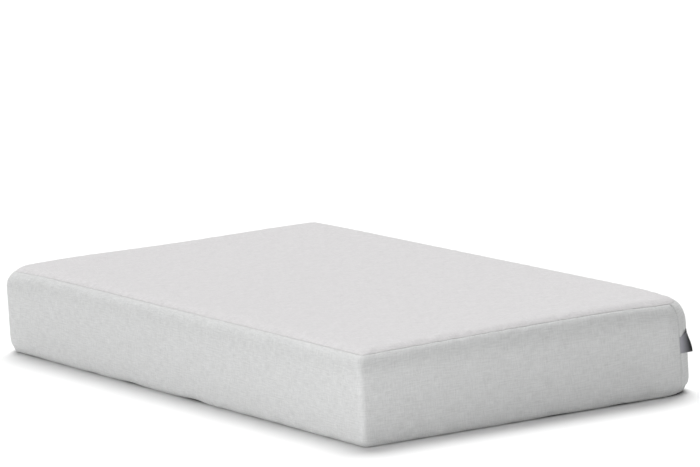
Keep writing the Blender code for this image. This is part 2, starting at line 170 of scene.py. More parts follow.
def profile():
    """The cover's section as many close points (inset, z), from the hem to the middle of the top."""
    turns = HEM_ARC - np.linspace(0, 1, HEM_POINTS + 1)[:-1] * HEM_ARC
    hem_x = TUCK_INSET + HEM_RADIUS * (1 - np.cos(turns)) * HEM_SQUASH
    hem_z = HEM_RADIUS * (1 - np.sin(turns) * HEM_SQUASH) + 0.0002
    z = np.linspace(HEM_RADIUS * 1.1, TUCK_Z, 40)
    rise = (z - z[0]) / (TUCK_Z - z[0])
    wall_z = np.linspace(TUCK_Z, SHOULDER_Z, 30)[1:-1]
    angle = np.linspace(0, SHOULDER_ARC, 50)
    over_x = SEAM_INSET * (1 - np.cos(angle)) / (1 - math.cos(SHOULDER_ARC))
    over_z = SHOULDER_Z + (SEAM_Z - SHOULDER_Z) * np.sin(angle) / math.sin(SHOULDER_ARC)
    share = np.linspace(0, 1, 50)[1:]
    crown_x = SEAM_INSET + (CROWN_INSET - SEAM_INSET) * share
    crown_z = SEAM_Z + (HEIGHT - SEAM_Z) * (1 - (1 - share) ** 2)
    flat_x = np.linspace(CROWN_INSET, 0.40, 60)[1:]
    tuck_x = TUCK_INSET * (1 - rise) ** TUCK_POWER
    inset = np.concatenate([hem_x, tuck_x, 0 * wall_z, over_x, crown_x, flat_x])
    height = np.concatenate([hem_z, z, wall_z, over_z, crown_z, 0 * flat_x + HEIGHT])
    return inset, height


PROFILE_X, PROFILE_Z = profile()
# How many of its points lead up from the hem to just past the seam
PAST_SEAM = 128
PROFILE_V = np.concatenate([[0], np.cumsum(np.hypot(np.diff(PROFILE_X), np.diff(PROFILE_Z)))])
SEAM_V = float(np.interp(SEAM_Z, PROFILE_Z[:PAST_SEAM], PROFILE_V[:PAST_SEAM]))


def section(v):
    """Inset, height and the outward direction's inward and upward shares at distance v up the section."""
    step = 0.0008
    x, z = np.interp(v, PROFILE_V, PROFILE_X), np.interp(v, PROFILE_V, PROFILE_Z)
    dx = np.interp(v + step, PROFILE_V, PROFILE_X) - np.interp(v - step, PROFILE_V, PROFILE_X)
    dz = np.interp(v + step, PROFILE_V, PROFILE_Z) - np.interp(v - step, PROFILE_V, PROFILE_Z)
    size = np.hypot(dx, dz)
    return x, z, -dz / size, dx / size


def bare(u, v, lift=0.0):
    """The cover before anything has pulled on it: points and normals."""
    u, v = np.broadcast_arrays(u, v)
    inset, z, inwards, upwards = section(v)
    x, y, nx, ny = ring(u, inset)
    normal = np.stack([-inwards * nx, -inwards * ny, upwards], -1)
    return np.stack([x, y, z], -1) + normal * np.asarray(lift)[..., None], normal


# ---- seams and where they are

def around_at(corner, degrees):
    """Distance round the outline to a direction on a corner's arc."""
    return STARTS[2 * corner + 1] + LENGTHS[2 * corner + 1] * (degrees - ARC_START[corner]) / 90


TAB_U = around_at(0, TAB_SEAM_ANGLE)
HEAD_RIGHT_U = STARTS[4] + (WIDTH / 2 - RADII[1] - HEAD_SEAM_X)
HEAD_LEFT_U = HEAD_RIGHT_U + 2 * HEAD_SEAM_X
CORNER_U = [STARTS[2 * k + 1] + LENGTHS[2 * k + 1] / 2 for k in range(4)]


def apart(u, at):
    """Signed distance round the outline from a place."""
    return np.mod(u - at + AROUND / 2, AROUND) - AROUND / 2


def ripple(u, seed, shortest, longest, count=14):
    """Irregular waves round the outline, about 1 high."""
    rng = np.random.default_rng(seed)
    turns = rng.integers(round(AROUND / longest), round(AROUND / shortest), count)
    phase = rng.uniform(0, 2 * math.pi, count)
    total = sum(np.sin(2 * math.pi * n * u / AROUND + p) for n, p in zip(turns, phase))
    return total * math.sqrt(2 / count)


# ---- the cover settles on the foam

SIM_CELL = 0.0125
SIM_TOP = 0.13
SIM_LIFT = 0.0015
SIM_FRAMES = 14
SIM_SEAM_HELD = 0.35
SIM_CLOTH = {
    "quality": 5, "mass": 0.15, "shrink_min": -0.004, "air_damping": 2,
    "tension_stiffness": 30, "compression_stiffness": 30, "shear_stiffness": 8, "bending_stiffness": 12,
    "tension_damping": 10, "compression_damping": 10, "shear_damping": 8,
}
SIM_ACROSS = int(round(AROUND / SIM_CELL))
SIM_V = np.linspace(0.002, SEAM_V + SIM_TOP, int(round((SEAM_V + SIM_TOP) / SIM_CELL)) + 1)


def linked(name, mesh):
    item = bpy.data.objects.new(name, mesh)
    scene.collection.objects.link(item)
    return item


def loop_grid(points):
    """A mesh of a grid of points that closes on itself round the outline."""
    count, rows = points.shape[:2]
    index = np.arange(count * rows).reshape(count, rows)
    after = np.roll(index, -1, 0)
    faces = np.stack([index[:, :-1], after[:, :-1], after[:, 1:], index[:, 1:]], -1)
    mesh = bpy.data.meshes.new("loop")
    mesh.from_pydata(points.reshape(-1, 3).tolist(), [], faces.reshape(-1, 4).tolist())
    mesh.update()
    return mesh


def settle_cover():
    """How far a cloth cover that settles on the foam bulges along its normals."""
    rng = np.random.default_rng(4)
    u = evenly(SIM_ACROSS)
    lift = SIM_LIFT + 0.0004 * rng.standard_normal((SIM_ACROSS, len(SIM_V)))
    start, normal = bare(u[:, None], SIM_V[None, :], lift)
    cloth = linked("settling_cover", loop_grid(start))
    coarse = evenly(SIM_ACROSS // 2)
    body, _ = bare(coarse[:, None], np.linspace(0, SIM_V[-1] + 0.02, len(SIM_V) // 2)[None, :])
    foam = linked("settling_foam", loop_grid(body))
    foam.modifiers.new("solid", "COLLISION")
    foam.collision.thickness_outer = 0.001
    foam.collision.cloth_friction = 8
    held = np.zeros((SIM_ACROSS, len(SIM_V)))
    held[:, [0, -1]] = 1
    held[:, np.argmin(np.abs(SIM_V - SEAM_V))] = SIM_SEAM_HELD
    group = cloth.vertex_groups.new(name="held")
    for index in np.flatnonzero(held):
        group.add([int(index)], float(held.flat[index]), "REPLACE")
    fabric = cloth.modifiers.new("fabric", "CLOTH")
    fabric.point_cache.frame_end = SIM_FRAMES
    fabric.settings.vertex_group_mass = "held"
    fabric.settings.effector_weights.gravity = 0.15
    for setting, value in SIM_CLOTH.items():
        setattr(fabric.settings, setting, value)
    fabric.collision_settings.distance_min = 0.001
    for step in range(1, SIM_FRAMES + 1):
        scene.frame_set(step)
    settled = cloth.evaluated_get(bpy.context.evaluated_depsgraph_get())
    places = np.zeros(start.size, np.float32)
    settled.data.vertices.foreach_get("co", places)
    bulge = ((places.reshape(start.shape) - start) * normal).sum(-1) + lift - SIM_LIFT
    scene.frame_set(1)
    for item in (cloth, foam):
        mesh = item.data
        bpy.data.objects.remove(item)
        bpy.data.meshes.remove(mesh)
    return bulge


def smoothed(field, rounds):
    """Evens out a field round the outline and up the section."""
    for _ in range(rounds):
        field = (np.roll(field, 1, 0) + 2 * field + np.roll(field, -1, 0)) / 4
        padded = np.pad(field, ((0, 0), (1, 1)), mode="edge")
        field = (padded[:, :-2] + 2 * field + padded[:, 2:]) / 4
    return field


# Shares of the settled bulge that are kept, and how far it may go in and out
UNEVEN_KEPT, USUAL_KEPT = 0.45, 0.35
BULGE_RANGE = (-0.0008, 0.004)

BULGE = np.zeros((SIM_ACROSS, len(SIM_V)))
settled_bulge = smoothed(settle_cover(), 5)
usual = smoothed(np.broadcast_to(settled_bulge.mean(0), settled_bulge.shape), 1)
BULGE = np.clip(UNEVEN_KEPT * (settled_bulge - usual) + USUAL_KEPT * usual, *BULGE_RANGE)


def cubic(p0, p1, p2, p3, t):
    return p1 + 0.5 * t * (p2 - p0 + t * (2 * p0 - 5 * p1 + 4 * p2 - p3 + t * (3 * (p1 - p2) + p3 - p0)))


def bulge_at(u, v):
    """The settled bulge between the simulated points."""
    across = np.mod(u, AROUND) / AROUND * SIM_ACROSS
    up = np.clip((v - SIM_V[0]) / (SIM_V[1] - SIM_V[0]), 0, len(SIM_V) - 1.001)
    i, j = np.floor(across).astype(int), np.floor(up).astype(int)
    s, t = across - i, up - j
    rows = np.clip(np.stack([j - 1, j, j + 1, j + 2]), 0, len(SIM_V) - 1)
    lines = [cubic(*[BULGE[(i + k) % SIM_ACROSS, row] for k in (-1, 0, 1, 2)], s) for row in rows]
    return cubic(*lines, t) * (1 - smooth(v, SIM_V[-1] - 0.03, SIM_V[-1]))


# ---- what has pulled the shape about

# Where the lower edge has come off the floor: distance round the outline, half width and height
HEM_LIFTS = (
    (STARTS[0] + 0.50, 0.055, 0.0022), (STARTS[0] + 0.62, 0.040, 0.0012), (STARTS[0] + 0.71, 0.035, 0.0024),
    (STARTS[6] + 0.62, 0.045, 0.0030), (STARTS[6] + 0.95, 0.060, 0.0030), (STARTS[6] + 1.30, 0.050, 0.0012),
    (STARTS[2] + 0.70, 0.080, 0.0034), (STARTS[2] + 1.30, 0.060, 0.0030), (STARTS[4] + 0.30, 0.050, 0.0030),
)

# Where up the section the corners are pulled in most, and the lowest that the cloth lies
CUFF_V = 0.013
LOWEST = 0.0004

# Heights between which the foam gives, and how far at each corner
SOFT_FROM, SOFT_TO = 0.165, 0.222
CORNER_SINK = (0.0075, 0.0015, 0.0060, 0.0010)
CORNER_SINK_REACH = 0.125

# How far the top stands too high at the foot and too low at the head: left side, right side
FOOT_RISE = (0.0048, 0.0148)
HEAD_DROP = (0.0043, 0.0129)
HEAD_DIP, FOOT_SWELL = 0.0042, 0.0016


def hem_lift(u):
    """How far the lower edge has come off the floor, in metres."""
    lift = 0.0006 * (1 + ripple(u, 7, 0.12, 0.45))
    for at, width, height in HEM_LIFTS:
        lift += height * bump(apart(u, at), width)
    return np.maximum(lift, 0)


def slump(x, y, z):
    """How far the soft foam lets a point drop."""
    drop = 0
    for index, amount in enumerate(CORNER_SINK):
        sign_x, sign_y = CORNER_SIGNS[index]
        cut = RADII[index] * (1 - math.sqrt(0.5))
        reach = np.hypot((sign_x * (WIDTH / 2 - cut) - x) * 0.9, sign_y * (LENGTH / 2 - cut) - y)
        drop += amount * bump(reach, CORNER_SINK_REACH)
    across, along = 0.5 + x / WIDTH, 0.5 + y / LENGTH
    drop -= (1 - along) * (FOOT_RISE[0] * (1 - across) + FOOT_RISE[1] * across)
    drop += along * (HEAD_DROP[0] * (1 - across) + HEAD_DROP[1] * across)
    middle = np.cos(math.pi * x / WIDTH) ** 2
    head, foot = smooth(y, 0.1, LENGTH / 2) * middle, smooth(-y, 0.6, LENGTH / 2) * middle
    return smooth(z, SOFT_FROM, SOFT_TO) * (drop + HEAD_DIP * head - FOOT_SWELL * foot)


def settle(points):
    """Lowers points with the foam; also used for everything under the cover."""
    moved = points.copy()
    moved[..., 2] -= slump(points[..., 0], points[..., 1], points[..., 2])
    return moved


def on_head(u):
    """1 along the head, 0 elsewhere."""
    return smooth(u, STARTS[4] - 0.02, STARTS[4] + 0.02) * (1 - smooth(u, STARTS[5] - 0.02, STARTS[5] + 0.02))


def pulled(u, v, by_zip):
    """How far stitches, creases and pulled corners move the cover out, in metres."""
    from_seam = v - SEAM_V
    out = -0.0005 * bump(from_seam, 0.0018) * (1 + 0.12 * ripple(u, 3, 0.02, 0.09))
    out -= 0.0005 * bump(from_seam, 0.009)
    out += 0.00022 * ripple(u, 11, 0.009, 0.017) * bump(np.abs(from_seam) - 0.006, 0.006)
    out += 0.00030 * ripple(u, 12, 0.03, 0.08) * bump(from_seam, 0.03)
    below = 1 - smooth(from_seam, -0.004, 0.0)
    for at in (TAB_U, HEAD_RIGHT_U, HEAD_LEFT_U):
        out -= 0.0016 * bump(apart(u, at), 0.0022) * below * (1 - by_zip)
        out += 0.0005 * bump(np.abs(apart(u, at)) - 0.008, 0.005) * below
    crease = bump(apart(u, STARTS[1] - 0.06), 0.13) * smooth(v, 0.003, 0.010)
    out -= 0.0016 * crease * bump(v - 0.0165, 0.0035)
    out += 0.0016 * crease * bump(v - 0.0080, 0.0050)
    out += 0.0011 * ripple(u, 21, 0.05, 0.16) * bump(v - 0.012, 0.022) * smooth(v, 0.0, 0.012)
    out += 0.0050 * bump(apart(u, CORNER_U[2] + 0.03), 0.022) * bump(v, 0.012)
    rounded = bump(apart(u, CORNER_U[0]), 0.10) + bump(apart(u, CORNER_U[2]), 0.10)
    return out - 0.0052 * rounded * bump(v - CUFF_V, 0.016)


def cover(u, v, depth=0.0, detail=True):
    """The finished cover at distance u round the outline and v up the section, depth inside it."""
    u, v = np.broadcast_arrays(u, v)
    points, normal = bare(u, v, -depth)
    by_zip = on_head(u) * bump(points[..., 2] - ZIP_Z, 0.030)
    out = bulge_at(u, v) * (1 - by_zip)
    if detail:
        out += pulled(u, v, by_zip)
    out = np.maximum(out, -0.0024 - 0.0034 * bump(v - CUFF_V, 0.018))
    points = points + normal * out[..., None]
    low = 1 - smooth(v, 0.0, 0.055)
    points[..., 2] += hem_lift(u) * low * (v < SEAM_V)
    above = points[..., 2] - LOWEST
    lifted = LOWEST + 0.001 * np.exp(np.minimum(above, 0.001) * 1000 - 1)
    points[..., 2] = np.where(above < 0.001, lifted, points[..., 2])
    return settle(points)


# ---- materials

class Net:
    """A new material: its nodes, its links and its shader."""

    def __init__(self, name, roughness=0.9, specular=0.2):
        self.made = bpy.data.materials.new(name)
        self.made.use_nodes = True
        self.made.node_tree.nodes.clear()
        self.new = self.made.node_tree.nodes.new
        self.link = self.made.node_tree.links.new
        self.shader = self.new("ShaderNodeBsdfPrincipled")
        self.link(self.shader.outputs["BSDF"], self.new("ShaderNodeOutputMaterial").inputs["Surface"])
        self.shade("Roughness", roughness)
        self.shade("Specular IOR Level", specular)

    def shade(self, setting, value):
        self.shader.inputs[setting].default_value = value

    def calc(self, operation, *values):
        node = self.new("ShaderNodeMath")
        node.operation = operation
        for socket, value in zip(node.inputs, values):
            if hasattr(value, "links"):
                self.link(value, socket)
            else:
                socket.default_value = value
        return node.outputs[0]

    def plus(self, a, b):
        return self.calc("ADD", a, b)

    def minus(self, a, b):
        return self.calc("SUBTRACT", a, b)

    def times(self, a, b):
        return self.calc("MULTIPLY", a, b)

    def noise(self, place, scale, detail=2.0, seed=0.0):
        """Noise whose grain is stretched: scale is cells per metre each way."""
        mapping = self.new("ShaderNodeMapping")
        mapping.inputs["Scale"].default_value = scale
        mapping.inputs["Location"].default_value = (seed, 1.7 * seed, 0)
        self.link(place, mapping.inputs["Vector"])
        noise = self.new("ShaderNodeTexNoise")
        noise.inputs["Scale"].default_value = 1.0
        noise.inputs["Detail"].default_value = detail
        self.link(mapping.outputs[0], noise.inputs["Vector"])
        return noise.outputs["Fac"]

    def colour(self, colour, factor):
        """Gives the shader a colour times a factor."""
        node = self.new("ShaderNodeMix")
        node.data_type = "RGBA"
        node.blend_type = "MULTIPLY"
        node.inputs["Factor"].default_value = 1.0
        node.inputs["A"].default_value = (*colour, 1)
        combine = self.new("ShaderNodeCombineColor")
        for socket in combine.inputs:
            self.link(factor, socket)
        self.link(combine.outputs[0], node.inputs["B"])
        self.link(node.outputs["Result"], self.shader.inputs["Base Color"])

    def bump(self, height, distance):
        node = self.new("ShaderNodeBump")
        node.inputs["Distance"].default_value = distance
        self.link(height, node.inputs["Height"])
        self.link(node.outputs[0], self.shader.inputs["Normal"])

    def pattern(self):
        """Where a point is in the piece's own cloth."""
        layout = self.new("ShaderNodeUVMap")
        layout.uv_map = "weave"
        return layout.outputs[0]

    def place(self):
        return self.new("ShaderNodeTexCoord").outputs["Object"]


def woven(name, colour, pitch, contrast, slub, raised=0.00012, roughness=0.92, specular=0.15):
    """Plain weave with uneven threads, laid out by the piece's own pattern."""
    net = Net(name, roughness, specular)
    place = net.pattern()
    split = net.new("ShaderNodeSeparateXYZ")
    net.link(place, split.inputs[0])
    across, along = (net.times(split.outputs[axis], 1 / pitch) for axis in (0, 1))
    warp, weft = (net.calc("ABSOLUTE", net.calc("SINE", net.times(way, math.pi))) for way in (across, along))
    cell = net.plus(net.calc("FLOOR", across), net.calc("FLOOR", along))
    over = net.calc("FLOORED_MODULO", cell, 2.0)
    under = net.minus(1.0, over)
    height = net.plus(net.times(warp, over), net.times(weft, under))
    tall = net.noise(place, (slub[0], slub[1], 1), 3.0, 3.1)
    wide = net.noise(place, (0.75 * slub[1], 0.9 * slub[0], 1), 3.0, 8.7)
    cloud = net.noise(place, (26, 26, 1), 3.0, 5.3)
    tone = net.times(net.plus(net.times(net.minus(tall, 0.5), 0.9), net.minus(wide, 0.5)), contrast)
    broad = net.times(net.minus(cloud, 0.5), contrast * 0.25)
    thread = net.times(net.minus(height, 0.64), 0.16)
    net.colour(colour, net.plus(net.plus(1.0, tone), net.plus(broad, thread)))
    net.bump(net.plus(height, net.times(tone, 1.2)), raised)
    net.shade("Sheen Weight", 0.06)
    net.shade("Sheen Roughness", 0.6)
    return net.made


def foamed(name, colour, cells):
    """Open-cell foam: fine pores with a few larger ones."""
    net = Net(name, 0.95, 0.1)
    where = net.place()
    pores = net.new("ShaderNodeTexVoronoi")
    pores.inputs["Scale"].default_value = cells
    net.link(where, pores.inputs["Vector"])
    mottle = net.noise(where, (14, 14, 14), 4.0, 2.0)
    dark = net.times(net.minus(pores.outputs["Distance"], 0.5), 0.22)
    broad = net.times(net.minus(mottle, 0.5), 0.08)
    net.colour(colour, net.plus(net.plus(1.0, dark), broad))
    net.bump(pores.outputs["Distance"], 0.0006)
    return net.made


def lacquered(name, colour, roughness, metallic):
    """Hard, slightly worn finish."""
    net = Net(name, roughness, 0.5)
    where = net.place()
    wear = net.noise(where, (900, 900, 900), 4.0, 1.0)
    net.colour(colour, net.plus(1.0, net.times(net.minus(wear, 0.5), 0.15)))
    net.link(net.plus(roughness - 0.06, net.times(wear, 0.12)), net.shader.inputs["Roughness"])
    net.shade("Metallic", metallic)
    return net.made


def satin(name, colour, roughness, sheen, length=0, painted_sheen=0):
    """Satin ribbon: long floats give a soft stretched shine; the last argument paints a sheen into the
    colour, greying it towards its sewn end.
    """
    net = Net(name, roughness, 0.3 if painted_sheen else 0.6)
    place = net.pattern()
    floats = net.noise(place, (350, 4200, 1), 2.0, 4.0)
    rows = net.new("ShaderNodeTexWave")
    rows.bands_direction = "Y"
    rows.inputs["Scale"].default_value = 320
    net.link(place, rows.inputs["Vector"])
    factor = net.plus(0.85, net.times(floats, 0.3))
    # Painted sheen: the colour is lightened at the sewn end and fades to nothing short of the fold.
    if painted_sheen:
        split = net.new("ShaderNodeSeparateXYZ")
        net.link(place, split.inputs[0])
        along = net.calc("DIVIDE", net.calc("PINGPONG", split.outputs[0], length), length)
        far = net.times(along, 1.2)
        near = net.calc("MAXIMUM", net.minus(1.0, far), 0.0)
        factor = net.plus(factor, net.times(near, painted_sheen))
    net.colour(colour, factor)
    net.bump(net.plus(floats, net.times(rows.outputs["Fac"], 0.5)), 0.00005)
    net.shade("Anisotropic", 0.6)
    net.shade("Sheen Weight", sheen)
    net.shade("Sheen Roughness", 0.4)
    return net.made


LOOKS = {
    "top": woven("cover_top", (0.626, 0.615, 0.620), 0.00085, 0.31, (340, 48)),
    "border": woven("cover_border", (0.622, 0.627, 0.625), 0.00085, 0.35, (340, 48)),
    "thread": woven("seam_thread", (0.60, 0.60, 0.60), 0.0006, 0.10, (900, 300)),
    "base": woven("base_cloth", (0.030, 0.030, 0.033), 0.0009, 0.30, (700, 200), 0.0002, 0.9, 0.2),
    "dots": lacquered("grip_dots", (0.035, 0.035, 0.038), 0.6, 0.0),
    "sock": woven("sock_knit", (0.80, 0.80, 0.78), 0.0011, 0.10, (500, 200), 0.0002),
    "tape": woven("zip_tape", (0.36, 0.365, 0.365), 0.0005, 0.14, (1200, 500), 0.00006),
    "coil": lacquered("zip_coil", (0.40, 0.405, 0.405), 0.38, 0.0),
    "metal": lacquered("zip_metal", (0.26, 0.265, 0.27), 0.34, 0.9),
    "core": foamed("support_foam", (0.66, 0.65, 0.56), 900),
    "transition": foamed("transition_foam", (0.66, 0.72, 0.78), 1000),
    "memory": foamed("memory_foam", (0.80, 0.73, 0.50), 1400),
    # The tab's last number is a painted sheen near its sewn end.
    "tab": satin("tab_satin", (0.010, 0.010, 0.011), 0.52, 0.02, TAB_LENGTH, 36),
    "care": satin("care_satin", (0.80, 0.80, 0.79), 0.45, 0.15),
}


# ---- making meshes

def piece(name, points, faces, look, weave=None, smooth_angle=None):
    """A mesh piece from arrays; weave gives each point its place in the cloth's pattern."""
    mesh = bpy.data.meshes.new(name)
    mesh.from_pydata(np.asarray(points).reshape(-1, 3).tolist(), [], [tuple(face) for face in faces])
    mesh.update()
    if weave is not None:
        layer = mesh.uv_layers.new(name="weave")
        corner = np.zeros(len(mesh.loops), int)
        mesh.loops.foreach_get("vertex_index", corner)
        layer.data.foreach_set("uv", np.asarray(weave, float).reshape(-1, 2)[corner].ravel())
    mesh.shade_smooth()
    if smooth_angle:
        mesh.set_sharp_from_angle(angle=math.radians(smooth_angle))
    mesh.materials.append(look)
    return linked(name, mesh)


def grid_faces(count, rows, first=0, closed=False, flip=False):
    """Quads between points stored column after column."""
    index = np.arange(count * rows).reshape(count, rows) + first
    after = np.roll(index, -1, 0) if closed else index[1:]
    here = index if closed else index[:-1]
    faces = np.stack([here[:, :-1], after[:, :-1], after[:, 1:], here[:, 1:]], -1).reshape(-1, 4)
    return (faces[:, ::-1] if flip else faces).tolist()


def sheet_faces(count, rows, flip=False):
    """Faces of two grids one behind the other, the front one's points first, joined round their edges."""
    total = count * rows
    index = np.arange(total).reshape(count, rows)
    edge = np.concatenate([index[:-1, 0], index[-1, :-1], index[:0:-1, -1], index[0, :0:-1]])
    after = np.roll(edge, -1)
    rim = [edge, edge + total, after + total, after]
    rim = np.stack(rim[::-1] if flip else rim, -1).tolist()
    return grid_faces(count, rows, flip=flip) + grid_faces(count, rows, total, flip=not flip) + rim


def closed_strip(name, us, vs, thickness, look, shape=cover):
    """A length of border with an outer and an inner layer, closed all round."""
    us, vs = us[:, None], vs[None, :]
    layers = np.stack([shape(us, vs), shape(us, vs, thickness)])
    flat = np.stack(np.broadcast_arrays(us, vs), -1)
    return piece(name, layers, sheet_faces(*flat.shape[:2]), look, np.stack([flat, flat]))


def head_strip(name, node, cells, depths, look, smooth_angle):
    """A thin closed piece on the head face; depths gives its outer and inner y for a grid of x and z."""
    low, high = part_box(node)
    xs, zs = np.linspace(low.x, high.x, cells[0]), np.linspace(low.z, high.z, cells[1])
    grid_x, grid_z = np.meshgrid(xs, zs, indexing="ij")
    points = np.stack([np.stack([grid_x, y, grid_z], -1) for y in depths(grid_x, grid_z)]).reshape(-1, 3)
    return piece(name, points, sheet_faces(*cells, flip=True), look, points[:, [0, 2]], smooth_angle)


def swept(path, radius, sides, aside, closed=False):
    """Points and faces of a cord along a path that never runs along aside."""
    path = np.asarray(path)
    ahead = np.roll(path, -1, 0) - np.roll(path, 1, 0) if closed else np.gradient(path, axis=0)
    ahead /= np.linalg.norm(ahead, axis=1)[:, None]
    side = np.cross(ahead, aside)
    side /= np.linalg.norm(side, axis=1)[:, None]
    up = np.cross(side, ahead)
    angle = (np.arange(sides) * 2 * math.pi / sides)[None, :, None]
    points = path[:, None] + radius * (np.cos(angle) * side[:, None] + np.sin(angle) * up[:, None])
    index = np.arange(len(path) * sides).reshape(-1, sides)
    here, after = (index, np.roll(index, -1, 0)) if closed else (index[:-1], index[1:])
    faces = np.stack([here, after, np.roll(after, -1, 1), np.roll(here, -1, 1)], -1).reshape(-1, 4).tolist()
    return points, faces if closed else faces + [tuple(index[0]), tuple(index[-1][::-1])]


def loop_cord(name, path, radius, look, sides):
    """A cord that runs right round the mattress."""
    points, faces = swept(path, radius, sides, (0, 0, 1), closed=True)
    length = np.concatenate([[0], np.cumsum(np.linalg.norm(np.diff(path, axis=0), axis=1))])
    round_it = np.arange(sides) * 2 * math.pi / sides * radius
    return piece(name, points, faces, look, np.stack(np.broadcast_arrays(length[:, None], round_it), -1))


def filled(ring_points, spacing):
    """Points and triangles that fill a ring seen from above; the ring's points come first."""
    low, high = ring_points.min(0), ring_points.max(0)
    xs = np.arange(low[0] + spacing / 2, high[0], spacing)
    ys = np.arange(low[1] + spacing / 2, high[1], spacing)
    inside = np.stack(np.meshgrid(xs, ys), -1).reshape(-1, 2)
    middle, half = (low + high) / 2, (high - low) / 2
    over = np.maximum(np.abs(inside - middle) - (half - TIGHTEST), 0)
    inside = inside[np.hypot(over[:, 0], over[:, 1]) < TIGHTEST - 0.35 * spacing]
    points = [Vector(p) for p in np.concatenate([ring_points, inside])]
    edges = [(i, (i + 1) % len(ring_points)) for i in range(len(ring_points))]
    out, _, faces, *_ = delaunay_2d_cdt(points, edges, [], 1, 1e-7)
    kept = np.unique(np.concatenate([np.arange(len(ring_points)), np.ravel(faces)]))
    place = np.zeros(len(out), int)
    place[kept] = np.arange(len(kept))
    return np.array(out)[kept], place[np.array(faces)].tolist()


def raised(plan, z):
    """Points of a plan at one height."""
    return np.column_stack([plan, np.full(len(plan), z)])


def height_to_v(z):
    """Distance up the wall's section to a height."""
    wall = PROFILE_V <= SEAM_V + 1e-9
    return np.interp(z, PROFILE_Z[wall][HEM_POINTS:], PROFILE_V[wall][HEM_POINTS:])


def spread(start, end, step):
    return np.linspace(start, end, max(2, int(round((end - start) / step)) + 1))


# ---- cover

GAP = 0.0003
COLUMN = 0.003
CLOTH = 0.0014
HEM_ROWS = np.array([0, 1.2, 2.5, 4.0, 6.0, 8.5, 11.5, 15, 19, 24, 30, 38]) / 1000
SEAM_STEPS = np.array([0.6, 1.4, 2.3, 3.3, 4.5, 6.2, 8.5, 11.5, 16, 22]) / 1000
WALL_ROWS = np.concatenate([HEM_ROWS, spread(0.048, SEAM_V - 0.031, 0.0115), SEAM_V - SEAM_STEPS[::-1]])


def make_borders():
    zip_low, zip_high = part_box("border_head_lower")[1].z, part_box("border_head_upper")[0].z
    below = WALL_ROWS[WALL_ROWS < height_to_v(zip_low) - 0.004]
    above = WALL_ROWS[WALL_ROWS > height_to_v(zip_high) + 0.004]
    edge = np.array([0.0, 0.0008, 0.0022])
    lower = np.concatenate([below, height_to_v(zip_low) - edge[::-1]])
    upper = np.concatenate([height_to_v(zip_high) + edge, above])
    spans = [
        ("border_wrap", HEAD_LEFT_U + GAP, TAB_U + AROUND - GAP, WALL_ROWS),
        ("border_side", TAB_U + GAP, HEAD_RIGHT_U - GAP, WALL_ROWS),
        ("border_head_lower", HEAD_RIGHT_U + GAP, HEAD_LEFT_U - GAP, lower),
        ("border_head_upper", HEAD_RIGHT_U + GAP, HEAD_LEFT_U - GAP, upper),
    ]
    for node, start, end, rows in spans:
        strip = closed_strip(node + "_cloth", spread(start, end, COLUMN), rows, CLOTH, LOOKS["border"])
        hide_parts(node)
        if node == "border_head_lower":
            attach(strip, "mattress")
        else:
            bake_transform(strip)


TOP_COLUMNS = 1872
TOP_DEPTH = 0.0050
TOP_ROWS = (SEAM_STEPS, (0.030, 0.040), (0.054, 0.072, 0.092, 0.115, 0.142, 0.170))


def top_layer(depth):
    """The top panel at a depth: rings with half the points after each group of rows, then a filled middle."""
    rings = []
    for level, rows in enumerate(TOP_ROWS):
        count = TOP_COLUMNS >> level
        u = evenly(count)
        for step in rows:
            thin = depth * min(1.0, 0.35 + step / 0.030)
            rings.append(cover(u, SEAM_V + step, thin))
    inner = rings[-1][:, :2]
    middle, triangles = filled(inner, 0.022)
    return rings, settle(raised(middle[len(inner):], HEIGHT - depth)), triangles


def make_top():
    rings, fill, triangles = top_layer(0.0)
    under, under_fill, _ = top_layer(TOP_DEPTH)
    points = np.concatenate(rings + [fill])
    total = len(points)
    starts = np.concatenate([[0], np.cumsum([len(r) for r in rings])])
    faces = []
    for k in range(len(rings) - 1):
        a, b, n, m = starts[k], starts[k + 1], len(rings[k]), len(rings[k + 1])
        if n == m:
            faces += [(a + i, a + (i + 1) % n, b + (i + 1) % n, b + i) for i in range(n)]
            continue
        for i in range(m):
            first, second, third = a + 2 * i, a + 2 * i + 1, a + (2 * i + 2) % n
            near, far = b + i, b + (i + 1) % m
            faces += [(first, second, near), (second, far, near), (second, third, far)]
    last, loop = starts[-2], len(rings[-1])
    shift = lambda i: last + i if i < loop else starts[-1] + i - loop
    faces += [tuple(shift(i) for i in face) for face in triangles]
    faces += [tuple(i + total for i in reversed(face)) for face in faces]
    n = TOP_COLUMNS
    faces += [(i, i + total, (i + 1) % n + total, (i + 1) % n) for i in range(n)]
    every = np.concatenate([points] + under + [under_fill])
    top = piece("top_panel_cloth", every, faces, LOOKS["top"], every[:, :2])
    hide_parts("top_panel")
    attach(top, "comfort_top")


def make_bindings():
    u = evenly(TOP_COLUMNS)
    path = cover(u, SEAM_V, 0.0009)
    path[:, 2] += 0.00010 * np.sin(2 * math.pi * u / 0.0042)
    cord = loop_cord("top_seam_cord", path, 0.0008, LOOKS["thread"], 6)
    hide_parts("top_seam_binding")
    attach(cord, "comfort_top")
    u = evenly(TOP_COLUMNS // 2)
    path = level_ring(u, TUCK_INSET + 0.0044, 0.0018 + 0.3 * hem_lift(u))
    tape = loop_cord("base_seam_tape", path, 0.0014, LOOKS["base"], 8)
    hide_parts("base_seam_binding")
    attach(tape, "mattress")


def make_base():
    """The charcoal underside with its grip dots."""
    thickness, low, edge = 0.0024, 0.0007, 0.0004
    u = evenly(SOFT_COLUMNS)
    insets = TUCK_INSET + np.array([0.0060, 0.0060 - edge, 0.0060 - edge, 0.0060])
    heights = [low, low + edge, low + thickness - edge, low + thickness]
    loops = [level_ring(u, inset, z) for inset, z in zip(insets, heights)]
    panel = capped("base_panel_cloth", loops, LOOKS["base"], 0.06, False)
    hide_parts("base_panel")
    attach(panel, "mattress")
    make_grip_dots(low)


